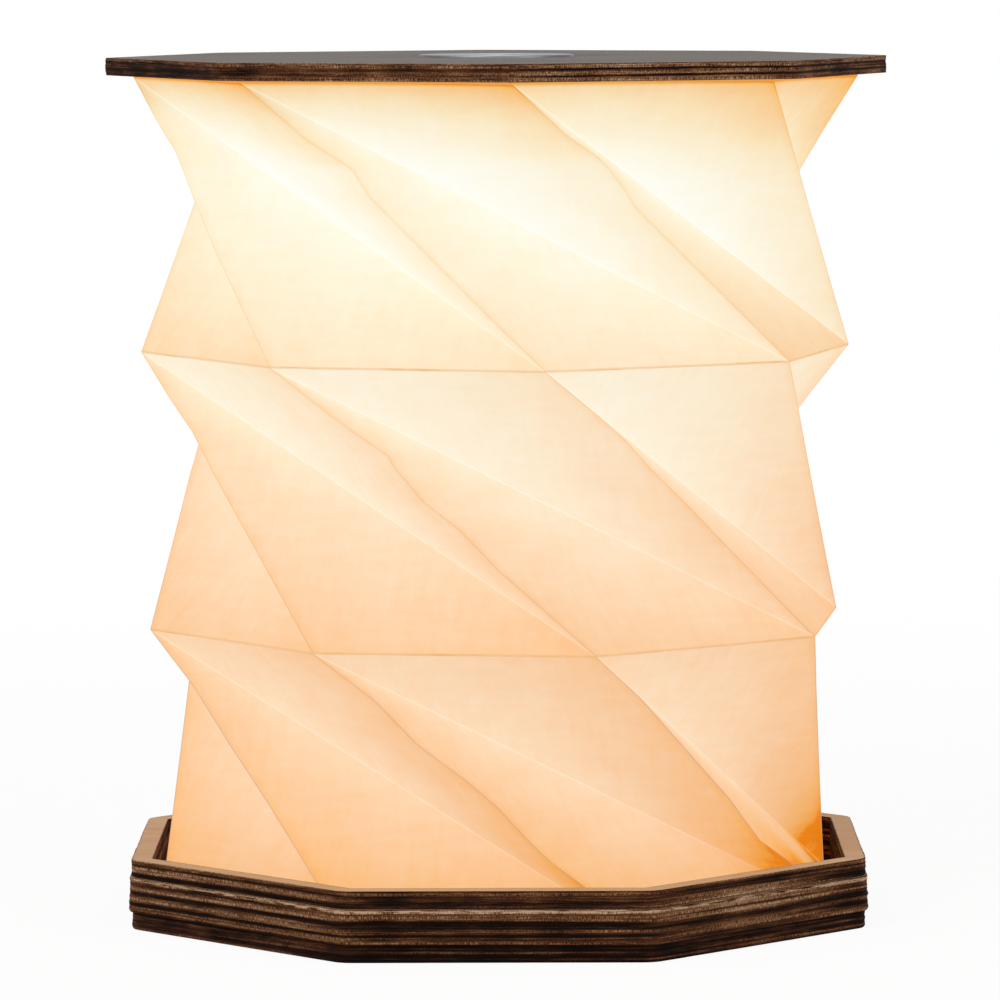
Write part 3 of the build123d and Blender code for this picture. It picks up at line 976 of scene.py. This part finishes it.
def mix(factor, first, second, blend="MIX"):
    first, second = ((*c, 1) if isinstance(c, tuple) else c for c in (first, second))
    return follow("Mix", {0: factor, 6: first, 7: second}, 2, data_type="RGBA", blend_type=blend)


def maths(operation, *values):
    return follow("Math", dict(enumerate(values)), operation=operation)


def scaled(value, factor, plus):
    return maths("MULTIPLY_ADD", value, factor, plus)


def fade(value, start, end, low=0.0, high=1.0):
    """A smooth step from low at start to high at end."""
    limits = {0: value, 1: start, 2: end, 3: low, 4: high}
    return follow("MapRange", limits, interpolation_type="SMOOTHSTEP")


def noise(vector, scale, detail=2.0, rough=0.5, stretch=(1, 1, 1), turn=0.0):
    """Noise from 0 to 1 whose grains are 1 / scale metres wide, longer where stretch is below 1."""
    placed = follow("Mapping", {0: vector, 2: (0, 0, turn), 3: stretch})
    return follow("TexNoise", {"Vector": placed, "Scale": scale, "Detail": detail, "Roughness": rough})


print("ramp, mix, maths, fade and noise are ready")

# %% [markdown]
# A group is described by a function from its inputs to its outputs. A material is described by a function
# from its finish to the inputs of its shader.


# %% Groups and materials
def new_group(name, inputs, outputs, work):
    """A node group with sockets {name: type}. work gives the outputs from the inputs."""
    tree = bpy.data.node_groups.new(name, "ShaderNodeTree")
    for way, sockets in (("INPUT", inputs), ("OUTPUT", outputs)):
        for socket, kind in sockets.items():
            tree.interface.new_socket(socket, in_out=way, socket_type="NodeSocket" + kind)
    source = {s.name: Value(s) for s in tree.nodes.new("NodeGroupInput").outputs}
    connect(tree.nodes.new("NodeGroupOutput"), work(source))
    return tree


def use_group(group, inputs):
    """Places a group in the tree of its inputs and gives its outputs by name."""
    made = follow("Group", inputs, node_tree=group).socket.node
    return {socket.name: Value(socket) for socket in made.outputs}


def empty_tree(owner):
    """Turns on the nodes of a material or world and removes them."""
    owner.use_nodes = True
    owner.node_tree.nodes.clear()
    return owner.node_tree


def new_material(name, bump, inputs, *finish):
    """A material with one Principled shader, whose inputs are worked out from a finish. Height goes
    through a Bump node of some strength and depth to its Normal."""
    material = bpy.data.materials.new(name)
    tree = empty_tree(material)
    values = inputs(tree, *finish)
    relief = {"Height": values.pop("Height"), "Strength": bump[0], "Distance": bump[1]}
    shader = add(tree, "BsdfPrincipled", values | {"Normal": add(tree, "Bump", relief)})
    connect(tree.nodes.new("ShaderNodeOutputMaterial"), {0: shader})
    return material


def dress(material, *pieces):
    for piece in pieces:
        piece.data.materials.clear()
        piece.data.materials.append(material)
    print(material.name, "on", len(pieces))


def object_place(tree):
    return add(tree, "TexCoord", out="Object")


def own_map(tree):
    return add(tree, "UVMap", uv_map="UVMap")


def painted_value(tree, name):
    return add(tree, "Attribute", attribute_name=name, out="Fac")


SURFACE = {"Color": "Color", "Roughness": "Float", "Height": "Float"}
print("groups and materials can be made")

# %% [markdown]
# ### Fibre
# Handmade-looking paper has cloudy patches and long fine fibres. The group gives both as one number around
# 0.5.


# %% Paper fibre
def fibre_outputs(source):
    pattern = source["Pattern"]
    one = noise(pattern, 420, 3.0, 0.6, (1, 0.22, 1), 0.4)
    two = noise(pattern, 380, 3.0, 0.6, (0.25, 1, 1), 0.2)
    return {"Cloud": noise(pattern, 90, 4.0, 0.6), "Fibre": (one + two) * 0.5}


fibre_values = {"Cloud": "Float", "Fibre": "Float"}
paper_fibre = new_group("paper_fibre", {"Pattern": "Vector"}, fibre_values, fibre_outputs)
print(paper_fibre.name)

# %% [markdown]
# ### The colour of lit paper
# Warm light through paper doesn't only get dimmer away from the module, it gets more orange: cream where
# it is brightest, then apricot, then deep orange. One ramp from the light level to a colour gives this
# everywhere. The creases are drawn by lowering or raising the level close to them, so they take their
# colour from the same ramp.

# %% Lit paper
LIT_STOPS = (
    (0.0, (0.9, 0.26, 0.01)), (0.05, (0.94, 0.38, 0.05)), (0.14, (0.95, 0.465, 0.14)),
    (0.33, (0.95, 0.59, 0.33)), (0.48, (0.965, 0.707, 0.48)), (0.64, (0.975, 0.832, 0.64)),
    (0.78, (0.98, 0.922, 0.78)), (0.95, (0.985, 0.97, 0.93)),
)
# Colours of thin painted shade lines: along the ridges, and in blots along the level creases.
RIDGE_SHADE_LINE, LEVEL_CREASE = (0.5, 0.36, 0.33), (0.8, 0.42, 0.13)
CREASE = (0.0001, 0.0004)
SOFT_RIDGE, LID_LINE, LEVEL_LINE = 0.0025, 0.001, (0.0001, 0.00042)
# How much painted shade darkens the ridges and the line under the lid, and painted light brightens the
# furrows.
RIDGE_DARK, SOFT_DARK, FURROW_LIGHT, LID_DARK = 0.13, 0.05, 0.08, 0.3
CLOUD_WEAVE, FIBRE_WEAVE = (0.11, -0.055), (0.2, -0.1)
YELLOW_DIM, YELLOW_BRIGHT = 0.09, 0.015
PAPER_BASE, PAPER_GLOW = 0.25, 0.79
FLAP_BUMP = (0.3, 0.0002)


def lit_paper_outputs(source):
    """Painted shade darkens the ridges and a thin line under the lid, and painted light brightens the
    furrows. High up the painted light is a little yellower. The level creases get painted shade in blots,
    where glue and the flaps behind them hold back light."""
    fibre = use_group(paper_fibre, {"Pattern": source["Pattern"]})
    weave = scaled(fibre["Cloud"], *CLOUD_WEAVE) + scaled(fibre["Fibre"], *FIBRE_WEAVE)
    upper = fade(source["Rise"], 0.25, 0.5)
    line = fade(source["Ridge Gap"], *CREASE, 1.0, 0.0)
    ridge = line * upper * RIDGE_DARK + fade(source["Ridge Gap"], 0.0, SOFT_RIDGE, SOFT_DARK, 0.0)
    furrow = fade(source["Furrow Gap"], *CREASE, FURROW_LIGHT, 0.0)
    under_lid = fade(source["Level Gap"], 0.0, LID_LINE, LID_DARK, 0.0) * fade(source["Rise"], 0.97, 0.98)
    level = source["Level"] + weave - ridge + furrow - (under_lid + source["Slant Loss"])
    yellow = fade(source["Rise"], 0.4, 1.0) * fade(level, 0.4, 0.8, YELLOW_DIM, YELLOW_BRIGHT) + 1.0
    tint = follow("CombineColor", {0: 1.0, 1: yellow, 2: 1.0})
    lit = mix(1.0, ramp(level, *LIT_STOPS), tint, "MULTIPLY")
    lit = mix(line * scaled(upper, -0.5, 0.5), lit, RIDGE_SHADE_LINE)
    crease = fade(source["Level Gap"], *LEVEL_LINE, 1.0, 0.0)
    blot = fade(noise(source["Pattern"], 45, 3.0, 0.7), 0.48, 0.7, 0.38, 0.95)
    return {"Light Color": mix(crease * blot, lit, LEVEL_CREASE), "Height": weave}


lit_paper = new_group(
    "lit_paper",
    dict.fromkeys(("Level", "Rise", "Ridge Gap", "Furrow Gap", "Level Gap", "Slant Loss"), "Float")
    | {"Pattern": "Vector"},
    {"Light Color": "Color", "Height": "Float"},
    lit_paper_outputs,
)


def glowing(colour, height):
    """Paper that shows a colour as painted glow, standing in for the module's light shining through it, and
    answers other light a little.
    """
    return {
        "Base Color": mix(1.0, colour, (PAPER_BASE,) * 3, "MULTIPLY"),
        "Roughness": 0.85,
        "Specular IOR Level": 0.2,
        "Height": height,
        "Emission Color": colour,
        "Emission Strength": PAPER_GLOW,
    }


def lit_paper_inputs(tree):
    """Paper seen at a slant shows less of the light behind it."""
    slanted = fade(add(tree, "LayerWeight", {"Blend": 0.5}, "Facing"), 0.35, 0.75)
    lit = use_group(lit_paper, {
        "Level": painted_value(tree, "glow"),
        "Rise": painted_value(tree, "rise"),
        "Slant Loss": slanted * painted_value(tree, "slant_loss"),
        "Ridge Gap": painted_value(tree, "ridge_gap"),
        "Furrow Gap": painted_value(tree, "furrow_gap"),
        "Level Gap": painted_value(tree, "level_gap"),
        "Pattern": own_map(tree),
    })
    return glowing(lit["Light Color"], lit["Height"])


def flap_inputs(tree, dark, light):
    """A folded edge glows through several layers, so it is darker and more orange than the shade."""
    fibre = use_group(paper_fibre, {"Pattern": object_place(tree)})
    return glowing(ramp(fibre["Cloud"], (0.3, dark), (0.7, light)), fibre["Fibre"])


edge_glow = (0.8, 0.2, 0.012), (0.97, 0.42, 0.05)
joint_glow = (0.92, 0.5, 0.24), (0.96, 0.62, 0.36)
dress(new_material("lit_folded_paper", (0.25, 0.0003), lit_paper_inputs), *paper_pieces)
dress(new_material("glued_paper_edge", FLAP_BUMP, flap_inputs, *edge_glow), flap_pieces[0], flap_pieces[3])
dress(new_material("glued_paper_joint", FLAP_BUMP, flap_inputs, *joint_glow), *flap_pieces[1:3])

# %% [markdown]
# ### Plywood
# One group gives the laser-cut edge from the painted char, and one gives the birch face with its grain.
# The tray shows bare birch, the lid is stained a soft grey-brown.

# %% Plywood
CHAR_STOPS = (
    (0.0, (0.54, 0.37, 0.25)), (0.12, (0.47, 0.31, 0.205)), (0.35, (0.255, 0.125, 0.055)),
    (0.55, (0.155, 0.062, 0.024)), (0.68, (0.076, 0.0255, 0.0098)), (0.85, (0.019, 0.0075, 0.004)),
    (1.0, (0.005, 0.002, 0.0013)),
)


def cut_edge_outputs(source):
    """The painted char varied by streaks along the plies, frayed ends of fibre, speckles and blotches."""
    pattern, painted = source["Pattern"], source["Char"]
    streak = noise(pattern, 3200, 3.0, 0.65, (0.08, 1, 1))
    fringe = noise(pattern, 5200, 2.0, 0.6, (1, 0.2, 1))
    speckle = noise(pattern, 3400, 2.0, 0.7)
    blotch = noise(pattern, 160, 2.0, 0.5, (0.5, 1, 1))
    change = (streak + speckle + blotch - 1.5) * source["Contrast"]
    char = painted + (change + (fringe - 0.5) * fade(painted, 0.5, 0.85, 1.9, 0.0))
    roughness = fade(char, 0.3, 1.0, 0.7, 0.9)
    return {"Color": ramp(char, *CHAR_STOPS), "Roughness": roughness, "Height": streak + speckle}


def birch_outputs(source):
    """Fine grain, broad figure and short dark pores."""
    place = source["Place"]
    grain = noise(place, 900, 4.0, 0.6, (0.03, 1, 1))
    figure = noise(place, 70, 3.0, 0.5, (0.25, 1, 1))
    pores = fade(noise(place, 2600, 1.0, 0.5, (0.06, 1, 1)), 0.62, 0.75)
    shade = grain * 0.6 + figure * 0.4 + pores * 0.15
    colour = mix(fade(shade, 0.3, 0.75), source["Light"], source["Dark"])
    return {"Color": colour, "Roughness": fade(shade, 0.2, 0.8, 0.5, 0.68), "Height": grain - pores}


cut_sockets = {"Char": "Float", "Pattern": "Vector", "Contrast": "Float"}
cut_edge = new_group("laser_cut_edge", cut_sockets, SURFACE, cut_edge_outputs)
birch_sockets = {"Place": "Vector", "Light": "Color", "Dark": "Color"}
birch_face = new_group("birch_face", birch_sockets, SURFACE, birch_outputs)


def plywood_inputs(tree, light, dark, contrast):
    """The face's colours, and how far the char varies. The painted edge mask chooses between face and
    edge."""
    char, edge = painted_value(tree, "char"), painted_value(tree, "edge")
    cut = use_group(cut_edge, {"Char": char, "Pattern": own_map(tree), "Contrast": contrast})
    face = use_group(birch_face, {"Place": object_place(tree), "Light": (*light, 1), "Dark": (*dark, 1)})
    burnt = mix(fade(char, 0.08, 0.5), face["Color"], cut["Color"])
    both = {key: follow("Mix", {0: edge, 2: face[key], 3: cut[key]}) for key in ("Roughness", "Height")}
    return both | {"Base Color": mix(edge, burnt, cut["Color"]), "Specular IOR Level": 0.06}


bare = (0.59, 0.395, 0.235), (0.5, 0.325, 0.19), 0.5
stained = (0.162, 0.137, 0.12), (0.136, 0.115, 0.101), 0.6
dress(new_material("laser_cut_birch", (0.5, 0.00025), plywood_inputs, *bare), *tray_pieces)
dress(new_material("stained_birch", (0.3, 0.0002), plywood_inputs, *stained), lid_piece)

# %% [markdown]
# ### Metal and the light module
# The disc was turned on a lathe, so its grooves are circles. Their bump spreads the light a little, and a
# fan of painted highlight in its colour does the rest. The other pieces of the module are moulded plastic, a
# printed board and small components.

# %% Turned metal
# Colours of the painted highlight fan, from dark to light.
HIGHLIGHT_FAN_STOPS = ((0.0, (0.085, 0.1, 0.12)), (0.5, (0.145, 0.146, 0.147)), (1.0, (0.23, 0.243, 0.258)))


def turned_metal_inputs(tree):
    """The painted highlight fan is a cosine of twice the angle round the disc, of opposite sign in front and
    behind.
    """
    parts = add(tree, "SeparateXYZ", {0: object_place(tree)}).socket.node.outputs
    x, y = Value(parts["X"]), Value(parts["Y"])
    radius = follow("VectorMath", {0: follow("CombineXYZ", {0: x, 1: y})}, "Value", operation="LENGTH")
    rings, bands = (
        follow("TexNoise", {"W": radius, "Scale": scale, "Detail": 2.0}, noise_dimensions="1D")
        for scale in (9000.0, 900.0)
    )
    front = maths("COSINE", maths("ARCTAN2", y, x) * 2.0 + 0.15)
    # Painted highlight: the fan lightens and darkens the disc's colour by the angle round it.
    fan = scaled(front * fade(y, -0.004, 0.004, -1.0, 1.0), 0.5, 0.5)
    return {
        "Base Color": ramp(fan + scaled(bands, 0.5, -0.25), *HIGHLIGHT_FAN_STOPS),
        "Metallic": 1.0,
        "Roughness": fade(rings, 0.2, 0.8, 0.28, 0.4),
        "Height": rings + bands,
        "Anisotropic": 0.6,
        "Tangent": add(tree, "Tangent", direction_type="RADIAL", axis="Z"),
    }


dress(new_material("turned_metal", (0.2, 0.00003), turned_metal_inputs), disc_piece)

# %% [markdown]
# The hard parts inside share one group with a fine grain and a slight mottling. A finish is a colour, the
# grains per metre, how strong the mottling is, and for some of them metal and glow.


# %% Plastics, board and small parts
def moulded_outputs(source):
    """Fine spark-eroded texture and a slight mottling, for any hard part."""
    place, colour = source["Place"], source["Color"]
    grain = noise(place, source["Grain"], 2.0, 0.6)
    both = grain * 0.4 + noise(place, 130, 3.0, 0.5) * 0.6
    darker = mix(1.0, colour, (0.55, 0.53, 0.5), "MULTIPLY")
    mottled = mix(fade(both, 0.3, 0.7) * source["Variation"], colour, darker)
    return {"Color": mottled, "Roughness": fade(both, 0.25, 0.75, 0.35, 0.6), "Height": grain}


moulded_sockets = {"Place": "Vector", "Color": "Color", "Grain": "Float", "Variation": "Float"}
moulded = new_group("moulded_surface", moulded_sockets, SURFACE, moulded_outputs)


def hard_inputs(tree, colour, grain, variation, metallic=0.0, glow=0.0):
    sockets = {"Place": object_place(tree), "Color": (*colour, 1), "Grain": grain, "Variation": variation}
    values = use_group(moulded, sockets)
    shown = values.pop("Color")
    if glow:
        values.update({"Emission Color": shown, "Emission Strength": glow})
    return values | {"Base Color": shown, "Metallic": metallic}


finishes = {
    "module_housing": ("ivory_plastic", (0.78, 0.75, 0.68), 2500, 0.3),
    "module_collar": ("black_plastic", (0.022, 0.02, 0.018), 1800, 0.5),
    "collar_screws": ("zinc_steel", (0.5, 0.49, 0.46), 3000, 0.4, 1.0),
    "diffuser_cap": ("frosted_cap", (0.98, 0.86, 0.62), 3500, 0.12, 0.0, 0.8),
    "leds": ("lit_package", (1.0, 0.82, 0.42), 3500, 0.2, 0.0, 0.9),
    "led_board": ("white_board", (0.7, 0.7, 0.68), 3000, 0.25),
    "control_board": ("green_board", (0.012, 0.11, 0.045), 3000, 0.6),
    "control_chips": ("black_chip", (0.015, 0.015, 0.016), 3500, 0.4),
    "touch_spring": ("spring_steel", (0.55, 0.54, 0.5), 3500, 0.3, 1.0),
    "charging_socket": ("socket_steel", (0.5, 0.5, 0.5), 3500, 0.3, 1.0),
    "battery_cell": ("foil_pouch", (0.52, 0.52, 0.53), 700, 0.35, 0.8),
    "battery_pad": ("foam_pad", (0.03, 0.03, 0.032), 1300, 0.7),
    "board_wires": ("red_wire", (0.42, 0.02, 0.015), 2500, 0.3),
}
for node, (name, *finish) in finishes.items():
    dress(new_material(name, (0.3, 0.00008), hard_inputs, *finish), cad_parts[node])

# %% [markdown]
# ## Stage and light
# A white tabletop, and soft studio light at a level where a colour looks about as it is written. The white
# background is the floor's own colour for the camera. Near the lamp the floor keeps a little of its
# shadow.

# %% Floor
FLOOR_RADIUS = 4.0
SPOKES = 96


def seen_directly(tree):
    """1 for a ray from the camera, off gloss or through glass, 0 for a ray of the light that falls on
    things."""
    path = add(tree, "LightPath").socket.node.outputs
    camera, gloss, glass = (Value(path[f"Is {ray} Ray"]) for ray in ("Camera", "Glossy", "Transmission"))
    return maths("MAXIMUM", maths("MAXIMUM", camera, gloss), glass)


def floor_material():
    material = bpy.data.materials.new("white_tabletop")
    tree = empty_tree(material)
    place = object_place(tree)
    speck = ramp(noise(place, 60, 3.0, 0.5), (0.3, (0.86,) * 3), (0.7, (0.9,) * 3))
    matt = follow("BsdfDiffuse", {"Color": speck})
    bright = add(tree, "Emission", {"Color": (1, 1, 1, 1), "Strength": 1.0})
    distance = follow("VectorMath", {0: place}, "Value", operation="LENGTH")
    share = fade(distance, 0.15, 0.8, 0.93, 1.0) * seen_directly(tree)
    both = follow("MixShader", {0: share, 1: matt, 2: bright})
    connect(tree.nodes.new("ShaderNodeOutputMaterial"), {0: both})
    return material


def floor():
    """A disc: a middle point and rings of points, closer together near the lamp."""
    radii = np.linspace(0.05, 1, 12) ** 1.5 * FLOOR_RADIUS
    angles = np.arange(SPOKES) * 2 * math.pi / SPOKES
    circle = np.stack([np.sin(angles), -np.cos(angles), 0 * angles], -1)
    points = np.concatenate([np.zeros((1, 3)), (radii[:, None, None] * circle).reshape(-1, 3)])
    here = 1 + np.arange(SPOKES)
    after = np.roll(here, -1)
    inner = SPOKES * np.arange(len(radii) - 1)[:, None]
    corners = (inner + here, inner + SPOKES + here, inner + SPOKES + after)
    bands = np.stack([*corners, corners[0], corners[2], inner + after], -1).reshape(-1, 3)
    obj = mesh_object("floor", points, np.concatenate([np.stack([0 * here, here, after], -1), bands]), None)
    return obj


dress(floor_material(), floor())

# %% [markdown]
# The surroundings give half of the light evenly. Two large round lights give the rest, the stronger one
# from the left.

# %% Light
WORLD_LIGHT = 0.55
world = bpy.data.worlds.new("studio")
tree = empty_tree(world)
strength = scaled(seen_directly(tree), 1 - WORLD_LIGHT, WORLD_LIGHT)
background = add(tree, "Background", {"Color": (1, 1, 1, 1), "Strength": strength})
connect(tree.nodes.new("ShaderNodeOutputWorld"), {0: background})
bpy.context.scene.world = world


def area_light(name, power, size, place, aim=(0, 0, 0.1)):
    data = bpy.data.lights.new(name, "AREA")
    data.shape, data.energy, data.size = "DISK", power, size
    obj = bpy.data.objects.new(name, data)
    bpy.context.scene.collection.objects.link(obj)
    obj.location = place
    x, y, z = np.array(aim) - np.array(place)
    obj.rotation_euler = (math.acos(-z / math.hypot(x, y, z)), 0.0, math.atan2(y, x) - math.pi / 2)


area_light("key", 10.0, 0.9, (-0.9, -1.0, 1.2))
area_light("fill", 4.0, 1.2, (1.2, -0.9, 0.8))
bpy.context.scene.view_settings.view_transform = "Standard"
